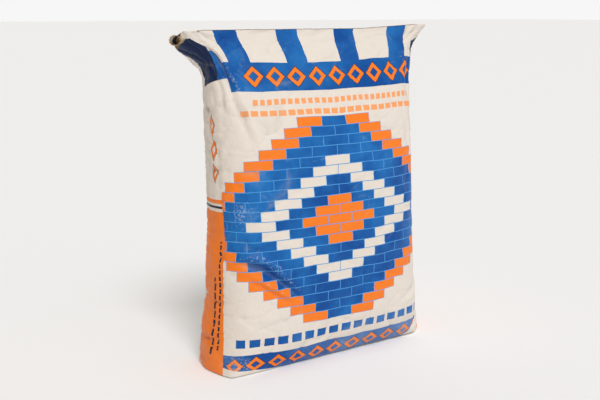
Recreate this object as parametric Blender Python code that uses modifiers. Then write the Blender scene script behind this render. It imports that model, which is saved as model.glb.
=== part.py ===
"""Filled block-bottom valve sack of cement, standing on its bottom end.

Metres, +Z up. The printed front faces -Y, the filling valve is in the ear at -X, and the origin is the
middle of the base, on the floor. Each ring of the sack is one Station, from the base to the top end.
"""

import math
from collections import namedtuple

import bmesh
import bpy
from mathutils import Matrix, Vector

# Driving dimensions of the sack
FLAT_WIDTH = 0.500  # the woven tube laid flat, which is also the straight top front edge
HEIGHT = 0.580  # floor to the top front edge
BODY_WIDTH = 0.407  # the filled body at mid height
BODY_DEPTH = 0.166  # the filled body at mid height
BASE_CORNER = (0.208, 0.067)  # where the flat base turns up, from the middle
BASE_TIP = 0.230  # the folded points of the base, from the middle

# The top end is a long rectangle that slopes back from its front edge and bends down along its middle.
# Each line across it is a place in depth and in height.
TOP_FRONT = (-0.003, HEIGHT)
TOP_MIDDLE = (0.038, HEIGHT - 0.013)
TOP_BACK = (0.077, HEIGHT - 0.056)
TOP_BACK_HALF_WIDTH = 0.186

# Sheet thicknesses and the gap between pieces that touch
PATCH_SHEET = 0.0010
SLEEVE_SHEET = 0.0012
SEAT_GAP = 0.0003
SACK_FLOOR = PATCH_SHEET + SEAT_GAP  # the sack starts above its bottom patch

# Cover patches, welded on the ends
BOTTOM_PATCH = (0.390, 0.100)
TOP_PATCH_HALF_LENGTH = 0.226
TOP_PATCH_BACK_HALF_LENGTH = TOP_BACK_HALF_WIDTH - 0.012
TOP_PATCH_MARGIN = 0.006  # bare strip left along the front and back edges of the top end

# Filling valve: a flattened sleeve in the left ear, leaning like the ear
VALVE_MIDDLE = (0.0165, 0.5640)  # in depth and in height
VALVE_LEAN = 22.0  # degrees, down towards the back
VALVE_WIDTH = 0.022
VALVE_THICKNESS = 0.0095
VALVE_LENGTH = 0.040
VALVE_SIDES = 40
POCKET_CLEARANCE = 0.003  # free depth behind the sleeve
CUTTER_OVERRUN = 0.010  # how far the cutter sticks out of the ear

# The soft cage: where the inner points of a face lie, as a share of its half width, how often it is
# smoothed, and how crisp its folds and corners are, from 0, soft, to 1, sharp
INNER_SHARE = 0.4
SMOOTHING = 2
BASE_FOLD = 0.8
BASE_POINT = 0.5
TOP_FOLD = 1.0
TOP_POINT = 0.8
FRONT_RUN = (1, 2, 3, 4)  # the points along the front, from corner to corner
BACK_RUN = (9, 8, 7, 6)
TIPS = (0, 5)

# A ring of the sack: the heights of its front and back, how far its tip stands past the body's side with
# the tip's depth and height, the front corner's half width with its step back from the body's front and
# its height, the back corner's half width and depth, and how far both faces bulge past their corners
Station = namedtuple("Station", "front_z back_z tip front back crown")


def body_stations():
    """The rings from the base up to just under the top end."""
    floor = SACK_FLOOR
    base_x, base_y = BASE_CORNER
    base_tip = BASE_TIP - BODY_WIDTH / 2
    base_step = BODY_DEPTH / 2 - base_y
    return [
        Station(floor, floor, (base_tip, 0.0, floor), (base_x, base_step, floor), (base_x, base_y), 0.001),
        Station(0.020, 0.020, (base_tip, 0.0, 0.020), (0.209, 0.009, 0.020), (0.209, 0.074), 0.005),
        Station(0.075, 0.075, (0.017, 0.0, 0.075), (0.200, 0.006, 0.075), (0.200, 0.077), 0.010),
        Station(0.160, 0.160, (0.012, 0.0, 0.160), (0.190, 0.007, 0.160), (0.190, 0.076), 0.014),
        Station(0.270, 0.268, (0.008, 0.0, 0.269), (0.187, 0.011, 0.270), (0.187, 0.075), 0.014),
        Station(0.370, 0.362, (0.008, 0.003, 0.366), (0.187, 0.017, 0.370), (0.185, 0.077), 0.012),
        Station(0.440, 0.420, (0.006, 0.012, 0.432), (0.192, 0.028, 0.443), (0.182, 0.080), 0.008),
        Station(0.487, 0.458, (0.000, 0.023, 0.475), (0.199, 0.047, 0.495), (0.179, 0.081), 0.004),
        Station(0.518, 0.480, (0.000, 0.029, 0.507), (0.207, 0.061, 0.531), (0.178, 0.081), 0.002),
        Station(0.541, 0.494, (0.010, 0.032, 0.530), (0.218, 0.072, 0.552), (0.179, 0.080), 0.001),
        Station(0.565, 0.508, (0.0485, 0.041, 0.547), (0.252, 0.080, 0.565), (0.182, 0.079), 0.0),
    ]


def ten_points(tip, front, front_middle, back, back_middle):
    """Ten points round the sack, from the left tip by the front to the right tip and back.

    Each place is that of the right side, and the left side mirrors it.
    """
    right = [Vector(place) for place in (tip, front, front_middle, back, back_middle)]
    left = [Vector((-place.x, place.y, place.z)) for place in right]
    return [left[0], left[1], left[2], right[2], right[1], right[0], right[3], right[4], left[4], left[3]]


def ring_points(station):
    tip_out, tip_y, tip_z = station.tip
    front_x, front_step, corner_z = station.front
    back_x, back_y = station.back
    front_y = front_step - BODY_DEPTH / 2
    return ten_points(
        (BODY_WIDTH / 2 + tip_out, tip_y, tip_z),
        (front_x, front_y, corner_z),
        (front_x * INNER_SHARE, front_y - station.crown, station.front_z),
        (back_x, back_y, station.back_z),
        (back_x * INNER_SHARE, back_y + station.crown, station.back_z),
    )


def top_end_points():
    half = FLAT_WIDTH / 2
    return ten_points(
        (half, *TOP_MIDDLE),
        (half, *TOP_FRONT),
        (half * INNER_SHARE, *TOP_FRONT),
        (TOP_BACK_HALF_WIDTH, *TOP_BACK),
        (TOP_BACK_HALF_WIDTH * INNER_SHARE, *TOP_BACK),
    )


def material(name, colour, roughness):
    made = bpy.data.materials.new(name)
    made.use_nodes = True
    shader = made.node_tree.nodes["Principled BSDF"]
    shader.inputs["Base Color"].default_value = (*colour, 1.0)
    shader.inputs["Roughness"].default_value = roughness
    return made


def add_object(name, source, finish, collection, smooth):
    """An object made from a bmesh, with its material, in a collection."""
    mesh = bpy.data.meshes.new(name)
    bmesh.ops.recalc_face_normals(source, faces=source.faces)
    for face in source.faces:
        face.smooth = smooth
    source.to_mesh(mesh)
    source.free()
    made = bpy.data.objects.new(name, mesh)
    if finish is not None:
        mesh.materials.append(finish)
    collection.objects.link(made)
    return made


def join_rings(cage, below, above):
    count = len(below)
    for i in range(count):
        j = (i + 1) % count
        cage.faces.new((below[i], below[j], above[j], above[i]))


def close_end(cage, ring, inner_x, depth, height):
    """Closes a ring by two rows of quads that meet along a line from tip to tip, and returns that line."""
    inner = [cage.verts.new((x, depth, height)) for x in (-inner_x, inner_x)]
    line = [ring[TIPS[0]], *inner, ring[TIPS[1]]]
    front = [ring[i] for i in FRONT_RUN]
    back = [ring[i] for i in BACK_RUN]
    for i in range(len(front) - 1):
        cage.faces.new((front[i], front[i + 1], line[i + 1], line[i]))
        cage.faces.new((line[i], line[i + 1], back[i + 1], back[i]))
    return line


def fold(cage, layer, along, crispness):
    """Makes the edges that join two of the given points crisp."""
    along = set(along)
    for edge in cage.edges:
        if along.issuperset(edge.verts):
            edge[layer] = crispness


def make_sack(finish, collection):
    """The soft cage of the filled sack, smoothed by subdivision, with the folds of its ends kept crisp."""
    cage = bmesh.new()
    crease = cage.edges.layers.float.new("crease_edge")
    pointed = cage.verts.layers.float.new("crease_vert")
    rings = [[cage.verts.new(point) for point in ring_points(station)] for station in body_stations()]
    rings.append([cage.verts.new(point) for point in top_end_points()])
    for below, above in zip(rings, rings[1:]):
        join_rings(cage, below, above)
    base, top = rings[0], rings[-1]
    close_end(cage, base, BASE_CORNER[0] * INNER_SHARE, 0.0, SACK_FLOOR)
    ridge = close_end(cage, top, FLAT_WIDTH / 2 * INNER_SHARE, *TOP_MIDDLE)
    fold(cage, crease, base, BASE_FOLD)
    fold(cage, crease, top, TOP_FOLD)
    fold(cage, crease, ridge, TOP_FOLD)
    for i in (FRONT_RUN[0], FRONT_RUN[-1], BACK_RUN[0], BACK_RUN[-1]):
        base[i][pointed] = BASE_POINT
        top[i][pointed] = TOP_POINT
    sack = add_object("filled_sack", cage, finish, collection, smooth=True)
    soften = sack.modifiers.new("Subdivision", "SUBSURF")
    soften.levels = SMOOTHING
    soften.render_levels = SMOOTHING
    return sack


def oval_along_x(width, thickness, length, start, caps):
    """A flattened tube or bar along +X, its width leaning down towards the back like the ear."""
    source = bmesh.new()
    place = (
        Matrix.Translation((start + length / 2, *VALVE_MIDDLE))
        @ Matrix.Rotation(math.radians(-VALVE_LEAN), 4, "X")
        @ Matrix.Diagonal((1.0, width / 2, thickness / 2, 1.0))
        @ Matrix.Rotation(math.radians(90.0), 4, "Y")
    )
    bmesh.ops.create_cone(
        source, cap_ends=caps, segments=VALVE_SIDES, radius1=1.0, radius2=1.0, depth=length, matrix=place
    )
    return source


def cut_valve_pocket(sack, cutters):
    """The blind pocket in the left ear that the sleeve sits in."""
    wide = VALVE_WIDTH + 2 * SEAT_GAP
    thick = VALVE_THICKNESS + 2 * SEAT_GAP
    deep = CUTTER_OVERRUN + VALVE_LENGTH + POCKET_CLEARANCE
    source = oval_along_x(wide, thick, deep, -FLAT_WIDTH / 2 - CUTTER_OVERRUN, caps=True)
    cutter = add_object("valve_pocket_cutter", source, None, cutters, smooth=False)
    cutter.hide_render = True
    cutter.display_type = "WIRE"
    cut = sack.modifiers.new("Valve pocket", "BOOLEAN")
    cut.operation = "DIFFERENCE"
    cut.solver = "EXACT"
    cut.object = cutter


def make_valve_sleeve(finish, collection):
    """The valve sleeve: one flattened tube of sheet, open at both ends."""
    source = oval_along_x(VALVE_WIDTH, VALVE_THICKNESS, VALVE_LENGTH, -FLAT_WIDTH / 2, caps=False)
    sleeve = add_object("valve_sleeve", source, finish, collection, smooth=True)
    wall = sleeve.modifiers.new("Sheet", "SOLIDIFY")
    wall.thickness = SLEEVE_SHEET
    wall.offset = -1.0


def make_bottom_patch(finish, collection):
    """The cover patch under the folded bottom end, on which the bag stands."""
    source = bmesh.new()
    size = Matrix.Diagonal((*BOTTOM_PATCH, PATCH_SHEET, 1.0))
    place = Matrix.Translation((0.0, 0.0, PATCH_SHEET / 2))
    bmesh.ops.create_cube(source, size=1.0, matrix=place @ size)
    add_object("bottom_patch", source, finish, collection, smooth=False)


def make_top_patch(finish, collection):
    """The cover patch over the folded top end: one sheet, bent along the middle of the end."""
    front, middle, back = Vector(TOP_FRONT), Vector(TOP_MIDDLE), Vector(TOP_BACK)
    fore_run = (middle - front).normalized()
    aft_run = (back - middle).normalized()
    fore_up = Vector((-fore_run.y, fore_run.x))
    aft_up = Vector((-aft_run.y, aft_run.x))
    bend_up = (fore_up + aft_up).normalized()
    lines = [
        (TOP_PATCH_HALF_LENGTH, front + fore_run * TOP_PATCH_MARGIN + fore_up * SEAT_GAP),
        (TOP_PATCH_HALF_LENGTH, middle + bend_up * SEAT_GAP / bend_up.dot(fore_up)),
        (TOP_PATCH_BACK_HALF_LENGTH, back - aft_run * TOP_PATCH_MARGIN + aft_up * SEAT_GAP),
    ]
    source = bmesh.new()
    pairs = [[source.verts.new((x, *line)) for x in (-half, half)] for half, line in lines]
    for first, second in zip(pairs, pairs[1:]):
        source.faces.new((first[0], first[1], second[1], second[0]))
    patch = add_object("top_patch", source, finish, collection, smooth=False)
    sheet = patch.modifiers.new("Sheet", "SOLIDIFY")
    sheet.thickness = PATCH_SHEET
    sheet.offset = 1.0
    sheet.use_even_offset = True


def main():
    for old in list(bpy.data.objects):
        bpy.data.objects.remove(old)
    parts = bpy.data.collections.new("cement_bag")
    cutters = bpy.data.collections.new("cutters")
    bpy.context.scene.collection.children.link(parts)
    bpy.context.scene.collection.children.link(cutters)
    woven = material("laminated_woven_polypropylene", (0.70, 0.67, 0.62), 0.45)
    top_cloth = material("top_patch_woven_polypropylene", (0.74, 0.71, 0.66), 0.50)
    bottom_cloth = material("bottom_patch_woven_polypropylene", (0.74, 0.71, 0.66), 0.55)
    sleeve_film = material("valve_polypropylene_film", (0.40, 0.40, 0.42), 0.40)
    sack = make_sack(woven, parts)
    cut_valve_pocket(sack, cutters)
    make_top_patch(top_cloth, parts)
    make_bottom_patch(bottom_cloth, parts)
    make_valve_sleeve(sleeve_film, parts)


main()
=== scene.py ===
import math

import bpy
import numpy as np
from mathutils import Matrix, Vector, noise
from mathutils.bvhtree import BVHTree


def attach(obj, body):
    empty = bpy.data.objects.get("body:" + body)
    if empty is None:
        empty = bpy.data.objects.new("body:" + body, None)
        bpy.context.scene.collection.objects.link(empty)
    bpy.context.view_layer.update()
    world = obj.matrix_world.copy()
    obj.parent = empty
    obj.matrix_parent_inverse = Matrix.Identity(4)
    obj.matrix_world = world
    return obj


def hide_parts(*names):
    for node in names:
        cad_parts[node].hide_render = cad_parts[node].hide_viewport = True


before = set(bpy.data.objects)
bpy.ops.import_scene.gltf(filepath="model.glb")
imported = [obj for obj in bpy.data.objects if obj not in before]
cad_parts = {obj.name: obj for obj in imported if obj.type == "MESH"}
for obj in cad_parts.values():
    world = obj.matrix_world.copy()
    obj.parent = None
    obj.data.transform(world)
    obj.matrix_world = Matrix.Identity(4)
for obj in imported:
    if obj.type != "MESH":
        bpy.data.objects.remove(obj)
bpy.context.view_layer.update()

# The filled sack: one tube of woven polypropylene tape with a thin film melted over it, printed in two
# colours, its ends folded to flat oblong bottoms and welded. It was filled through the valve until it
# stood. The top of the tube is slack, so its ears keep the flat width while the body below draws in.
HALF_ROUND = 0.560  # half the fabric's length round the body
TIP_U = 0.280  # fabric from the middle of the front to the middle of each side
FRONT_COLUMNS = 34
SIDE_COLUMNS = 10
BODY_ROW_STEP = 0.0115
TOP_ROW_STEP = 0.0062
TOP_ROWS_START = 0.50
INNER_SHARE = 0.4  # the inner control points of a face, as a share of its half width
BASE_EDGE_REACH = 0.012  # how far up the crisp fold at the base is felt
TOP_EDGE_REACH = 0.016

# Control rings from the base to the top end: heights of front and back, then x, y, z of the right tip and
# front corner, x and y of the back corner, and the bulge of each face
STATIONS = (
    (0.0013, 0.0013, (0.230, 0.0, 0.0013), (0.208, -0.067, 0.0013), (0.208, 0.067), 0.001),
    (0.020, 0.020, (0.230, 0.0, 0.020), (0.209, -0.074, 0.020), (0.209, 0.074), 0.005),
    (0.075, 0.075, (0.2205, 0.0, 0.075), (0.200, -0.077, 0.075), (0.200, 0.077), 0.010),
    (0.160, 0.160, (0.2155, 0.0, 0.160), (0.190, -0.076, 0.160), (0.190, 0.076), 0.014),
    (0.270, 0.268, (0.2115, 0.0, 0.269), (0.187, -0.072, 0.270), (0.187, 0.075), 0.014),
    (0.370, 0.362, (0.2115, 0.003, 0.366), (0.187, -0.066, 0.370), (0.185, 0.077), 0.012),
    (0.440, 0.420, (0.2095, 0.012, 0.432), (0.192, -0.055, 0.443), (0.182, 0.080), 0.008),
    (0.487, 0.458, (0.2035, 0.023, 0.475), (0.199, -0.036, 0.495), (0.179, 0.081), 0.004),
    (0.518, 0.480, (0.2035, 0.029, 0.507), (0.207, -0.022, 0.531), (0.178, 0.081), 0.002),
    (0.541, 0.494, (0.2135, 0.032, 0.530), (0.218, -0.011, 0.552), (0.179, 0.080), 0.001),
    (0.565, 0.508, (0.252, 0.041, 0.547), (0.252, -0.003, 0.565), (0.182, 0.079), 0.0),
    (0.580, 0.524, (0.250, 0.038, 0.567), (0.250, -0.003, 0.580), (0.186, 0.077), 0.0),
)

# Where the real sack is uneven: station, control point round the ring, and the move in metres. Points 0
# and 5 are the left and right tips, 1 to 4 the front from left to right, 6 to 9 the back from the right
UNEVEN = (
    (11, 4, (0.002, 0.0, 0.008)),
    (11, 5, (0.001, 0.0, 0.008)),
    (10, 4, (0.0, 0.0, 0.011)),
    (10, 5, (-0.004, 0.0, 0.011)),
    (9, 4, (0.010, 0.0, 0.004)),
    (9, 5, (0.016, 0.0, 0.0)),
    (8, 4, (0.009, 0.0, 0.0)),
    (8, 5, (0.013, 0.0, 0.0)),
    (7, 4, (0.005, 0.0, 0.0)),
    (7, 5, (0.007, 0.0, 0.0)),
    (0, 5, (0.012, -0.014, 0.002)),
    (1, 5, (-0.004, -0.004, 0.0)),
    (0, 4, (-0.004, 0.012, 0.001)),
    (0, 2, (0.0, 0.004, 0.0)),
    (0, 3, (0.0, 0.010, 0.002)),
    (0, 1, (-0.004, -0.003, 0.0)),
    (0, 0, (0.003, 0.0, 0.0)),
    (2, 0, (0.003, 0.0, 0.0)),
)


def control_ring(front_z, back_z, tip, front, back, crown):
    """Ten control points round the sack, from the left tip along the front and back along the rear."""
    right = [
        tip,
        front,
        (front[0] * INNER_SHARE, front[1] - crown, front_z),
        (back[0], back[1], back_z),
        (back[0] * INNER_SHARE, back[1] + crown, back_z),
    ]
    left = [(-x, y, z) for x, y, z in right]
    return [left[0], left[1], left[2], right[2], right[1], right[0], right[3], right[4], left[4], left[3]]


def spline_weights(f):
    """Weights of the four control points round a place that lies the share f between the middle two."""
    return np.stack([(1 - f) ** 3, 3 * f**3 - 6 * f**2 + 4, -3 * f**3 + 3 * f**2 + 3 * f + 1, f**3], -1) / 6


def between_stations(rings, s):
    """The control ring at station number s, on a soft curve through the stations."""
    first, last = 2 * rings[0] - rings[1], 2 * rings[-1] - rings[-2]
    padded = np.concatenate([[first], rings, [last]])
    i = min(int(s), len(rings) - 2)
    return np.einsum("k,kij->ij", spline_weights(np.float64(s - i)), padded[i : i + 4])


def ring_curve(ring, t, sharp):
    """The outline through a control ring at t, soft or with straight runs and sharp corners."""
    i = np.floor(t).astype(int)
    f = (t - i)[:, None]
    near = [ring[(i + k) % len(ring)] for k in (-1, 0, 1, 2)]
    weights = spline_weights(f[:, 0])
    soft = sum(weights[:, k, None] * near[k] for k in range(4))
    straight = near[1] * (1 - f) + near[2] * f
    return soft * (1 - sharp) + straight * sharp


def spaced(curve_points, count):
    """count even steps along a run of points."""
    length = np.concatenate([[0], np.cumsum(np.linalg.norm(np.diff(curve_points, axis=0), axis=1))])
    even = np.linspace(0, length[-1], count + 1)[:-1]
    return np.stack([np.interp(even, length, curve_points[:, k]) for k in range(3)], -1)


def smooth_step(low, high, value):
    """0 below low, 1 above high, and a soft rise between."""
    t = np.clip((value - low) / (high - low), 0, 1)
    return t * t * (3 - 2 * t)


# Runs of the outline from the front left corner round to itself: control points and steps
HALF_SIDE = SIDE_COLUMNS // 2
RUNS = (
    (1, 4, FRONT_COLUMNS),
    (4, 5, HALF_SIDE),
    (5, 6, HALF_SIDE),
    (6, 9, FRONT_COLUMNS),
    (9, 10, HALF_SIDE),
    (10, 11, HALF_SIDE),
)
COLUMNS = sum(run[2] for run in RUNS)


def outline_row(ring, sharp):
    """The points of one row of the cloth."""
    row = []
    for start, end, count in RUNS:
        t = np.linspace(start, end, 24 * (end - start) + 1)
        row.append(spaced(ring_curve(ring, t, sharp), count))
    return np.concatenate(row)


def row_u(row):
    """Fabric coordinate round a row, from the front left corner round to itself. The front and the back keep
    their true lengths, and each side takes the rest."""
    closed = np.concatenate([row, row[:1]])
    length = np.concatenate([[0], np.cumsum(np.linalg.norm(np.diff(closed, axis=0), axis=1))])
    at = length[np.cumsum([0] + [run[2] for run in RUNS])]
    front = (at[1] - at[0]) / 2
    back = HALF_ROUND - (at[4] - at[3]) / 2
    round_u = 2 * HALF_ROUND
    knots = [-front, front, TIP_U, back, round_u - back, round_u - TIP_U, round_u - front]
    return np.interp(length, at, knots)


# How far the ear's end hangs below its place in the flat fabric, because its fold runs askew
EAR_DIP = ((5.0, 0.0), (6.0, 0.010), (7.0, 0.022), (8.0, 0.026), (9.0, 0.024), (10.0, 0.021), (11.0, 0.022))

rings = np.array([control_ring(*station) for station in STATIONS])
for station, point, move in UNEVEN:
    rings[station, point] += move
fine = np.linspace(0, len(rings) - 1, 400)
middle_line = np.array([between_stations(rings, s)[2:4].mean(0) for s in fine])
front_length = np.concatenate([[0], np.cumsum(np.linalg.norm(np.diff(middle_line, axis=0), axis=1))])
TOP_V = front_length[-1]
body_rows = int(round(TOP_ROWS_START / BODY_ROW_STEP))
top_rows = int(round((TOP_V - TOP_ROWS_START) / TOP_ROW_STEP))
row_v = np.concatenate(
    [np.linspace(0, TOP_ROWS_START, body_rows + 1)[:-1], np.linspace(TOP_ROWS_START, TOP_V, top_rows + 1)]
)
row_s = np.interp(row_v, front_length, fine)
row_count = len(row_v) - 1
tube = []
fabric = []
for row_height, s in zip(row_v, row_s):
    near_base = 0.72 * math.exp(-((row_height / BASE_EDGE_REACH) ** 2))
    near_top = 0.97 * math.exp(-(((TOP_V - row_height) / TOP_EDGE_REACH) ** 2))
    tube.append(outline_row(between_stations(rings, s), max(near_base, near_top)))
    row_round = row_u(tube[-1])
    dip = np.interp(s, *zip(*EAR_DIP)) * smooth_step(0.205, 0.265, np.minimum(np.abs(row_round), TIP_U))
    fabric.append(np.stack([row_round, row_height - dip], -1))
tube = np.array(tube)
fabric = np.array(fabric)
points = list(tube.reshape(-1, 3))
faces = []
corner_uv = []
for j in range(row_count):
    for i in range(COLUMNS):
        k = (i + 1) % COLUMNS
        faces.append((j * COLUMNS + i, j * COLUMNS + k, (j + 1) * COLUMNS + k, (j + 1) * COLUMNS + i))
        corner_uv.append((fabric[j, i], fabric[j, i + 1], fabric[j + 1, i + 1], fabric[j + 1, i]))


def end_sides(row_index):
    """The front and the back run of an outline row, both from left to right."""
    row = tube[row_index]
    back_start = FRONT_COLUMNS + SIDE_COLUMNS
    return row[: FRONT_COLUMNS + 1], row[back_start : back_start + FRONT_COLUMNS + 1][::-1]


def close_end(row_index, v_start, v_step, flip):
    """Fills the outline row with a grid spanned from its sides, and returns its point numbers."""
    across, along = SIDE_COLUMNS, FRONT_COLUMNS
    row = tube[row_index]
    front, back = end_sides(row_index)
    right = row[along : along + across + 1]
    left = np.concatenate([row[2 * along + across :], row[:1]])[::-1]
    a = np.linspace(0, 1, along + 1)[None, :, None]
    b = np.linspace(0, 1, across + 1)[:, None, None]
    corners = (1 - a) * (1 - b) * front[0] + a * (1 - b) * front[-1] + (1 - a) * b * back[0] + a * b * back[-1]
    grid = (1 - a) * left[:, None] + a * right[:, None] + (1 - b) * front[None] + b * back[None] - corners
    first = row_index * COLUMNS
    number = {}
    for q in range(across + 1):
        for p in range(along + 1):
            if q == 0:
                number[q, p] = first + p
            elif q == across:
                number[q, p] = first + along + across + (along - p)
            elif p == along:
                number[q, p] = first + along + q
            elif p == 0:
                number[q, p] = first + (2 * along + 2 * across - q) % COLUMNS
            else:
                number[q, p] = len(points)
                points.append(grid[q, p])
    for q in range(across):
        for p in range(along):
            ring = [(q, p), (q, p + 1), (q + 1, p + 1), (q + 1, p)]
            ring = ring[::-1] if flip else ring
            faces.append(tuple(number[c] for c in ring))
            corner_uv.append([(grid[c][0], v_start + v_step * c[0]) for c in ring])
    return number


def new_object(name, object_points, object_faces):
    """A smooth-shaded mesh object in the scene."""
    data = bpy.data.meshes.new(name)
    data.from_pydata([tuple(p) for p in object_points], [], object_faces)
    data.polygons.foreach_set("use_smooth", [True] * len(object_faces))
    data.update()
    made = bpy.data.objects.new(name, data)
    bpy.context.scene.collection.objects.link(made)
    return made


base_grid = close_end(0, 0.0, -0.0134, True)
top_grid = close_end(row_count, TOP_V, 0.0105, False)
points = np.array(points)
sack = new_object("sack_cloth", points, faces)
mesh = sack.data
uv_layer = mesh.uv_layers.new(name="fabric")
uv_layer.data.foreach_set("uv", np.array([uv for face in corner_uv for uv in face], np.float32).ravel())

# The cloth is cut a little larger than the outline it was drawn on and blown up softly by the cement in
# it, from a start that is not quite even, which leaves broad shallow dents
SPARE_CLOTH = 1.03
START_NOISE = 0.0016
START_NOISE_SIZE = 0.045
CLOTH_FRAMES = 40
CLOTH_CAP = 0.012
base_points = sorted(set(base_grid.values()))
top_points = sorted(set(top_grid.values()))
cut = points.copy()
for j in range(row_count + 1):
    ring = tube[j]
    middle = ring.mean(0)
    cut[j * COLUMNS : (j + 1) * COLUMNS, :2] = middle[:2] + (ring[:, :2] - middle[:2]) * SPARE_CLOTH
start = points + START_NOISE * np.array([noise.noise_vector(Vector(p) / START_NOISE_SIZE) for p in points])
start[base_points] = points[base_points]
start[top_points] = points[top_points]
mesh.vertices.foreach_set("co", start.astype(np.float32).ravel())
sack.shape_key_add(name="Basis")
key = sack.shape_key_add(name="Cut")
key.data.foreach_set("co", cut.astype(np.float32).ravel())
key.value = 0.0
pin = sack.vertex_groups.new(name="pin")
pin.add(base_points, 1.0, "REPLACE")
pin.add(top_points, 0.6, "REPLACE")
cloth = sack.modifiers.new("Cloth", "CLOTH")
settings = cloth.settings
settings.quality = 5
settings.mass = 0.3
settings.tension_stiffness = 60
settings.compression_stiffness = 10
settings.shear_stiffness = 15
settings.bending_stiffness = 40
settings.tension_damping = 5
settings.compression_damping = 5
settings.shear_damping = 5
settings.air_damping = 1.0
settings.vertex_group_mass = "pin"
settings.pin_stiffness = 1.0
settings.use_pressure = True
settings.uniform_pressure_force = 1.0
settings.rest_shape_key = key
settings.effector_weights.gravity = 0.0
cloth.collision_settings.use_collision = False
cloth.point_cache.frame_start = 1
cloth.point_cache.frame_end = CLOTH_FRAMES
scene = bpy.context.scene
scene.frame_start = 1
scene.frame_end = CLOTH_FRAMES
for number in range(1, CLOTH_FRAMES + 1):
    scene.frame_set(number)
settled = sack.evaluated_get(bpy.context.evaluated_depsgraph_get()).data
after = np.empty(len(points) * 3, np.float32)
settled.vertices.foreach_get("co", after)
moved = after.reshape(-1, 3) - points
size = np.linalg.norm(moved, axis=1)
sack.modifiers.remove(cloth)
sack.shape_key_clear()
sack.vertex_groups.clear()
scene.frame_set(1)
moved *= (CLOTH_CAP * np.tanh(size / CLOTH_CAP) / np.maximum(size, 1e-9))[:, None]
mesh.vertices.foreach_set("co", (points + moved).astype(np.float32).ravel())
mesh.update()

# The pocket in the upper left ear that the valve sleeve sits in: an oval that leans down towards the back
VALVE_MIDDLE = (0.0165, 0.5640)
VALVE_LEAN = math.radians(22)
VALVE_HALF = (0.0110, 0.00475)
VALVE_SIDES = 96
POCKET_END_X = -0.2085
POCKET_CLEARANCE = 0.0003
UNPRINTED_V = -0.05  # a place on the fabric that carries no print


def oval_ring(x, half_wide, half_thick):
    """A ring of points round the valve's middle line, in the plane across it at x."""
    t = np.linspace(0, 2 * math.pi, VALVE_SIDES, endpoint=False)
    wide = half_wide * np.cos(t)
    thick = half_thick * np.sin(t)
    y = VALVE_MIDDLE[0] + wide * math.cos(VALVE_LEAN) + thick * math.sin(VALVE_LEAN)
    z = VALVE_MIDDLE[1] - wide * math.sin(VALVE_LEAN) + thick * math.cos(VALVE_LEAN)
    return np.stack([np.full(VALVE_SIDES, x), y, z], -1)


def ring_faces(first, second):
    """Quads between two rings of points, given by the number of each ring's first point."""
    n = VALVE_SIDES
    return [(first + i, first + (i + 1) % n, second + (i + 1) % n, second + i) for i in range(n)]


pocket_half = [h + POCKET_CLEARANCE for h in VALVE_HALF]
cutter_points = np.concatenate([oval_ring(-0.280, *pocket_half), oval_ring(POCKET_END_X, *pocket_half)])
cutter_faces = ring_faces(0, VALVE_SIDES)
cutter_faces.append(tuple(range(VALVE_SIDES))[::-1])
cutter_faces.append(tuple(range(VALVE_SIDES, 2 * VALVE_SIDES)))
cutter = new_object("pocket_cutter", cutter_points, [face[::-1] for face in cutter_faces])
cutter_uv = cutter.data.uv_layers.new(name="fabric")
cutter_uv.data.foreach_set("uv", [0.0, UNPRINTED_V] * len(cutter.data.loops))

# Two rounds of smoothing, with the welded edges of both ends kept crisp, and then the pocket is cut
crease = mesh.attributes.new("crease_edge", "FLOAT", "EDGE")
top_ring = set(range(row_count * COLUMNS, (row_count + 1) * COLUMNS))
base_ring = set(range(COLUMNS))
for edge in mesh.edges:
    if top_ring.issuperset(edge.vertices):
        crease.data[edge.index].value = 0.9
    elif base_ring.issuperset(edge.vertices):
        crease.data[edge.index].value = 0.5
smoothing = sack.modifiers.new("Smoothing", "SUBSURF")
smoothing.levels = 2
smoothing.render_levels = 2
smoothing.uv_smooth = "NONE"
pocket = sack.modifiers.new("Pocket", "BOOLEAN")
pocket.operation = "DIFFERENCE"
pocket.object = cutter
finished = bpy.data.meshes.new_from_object(sack.evaluated_get(bpy.context.evaluated_depsgraph_get()))
sack.modifiers.clear()
sack.data = finished
bpy.data.meshes.remove(mesh)
bpy.data.objects.remove(cutter)
mesh = finished
mesh.name = "sack_cloth"

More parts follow.
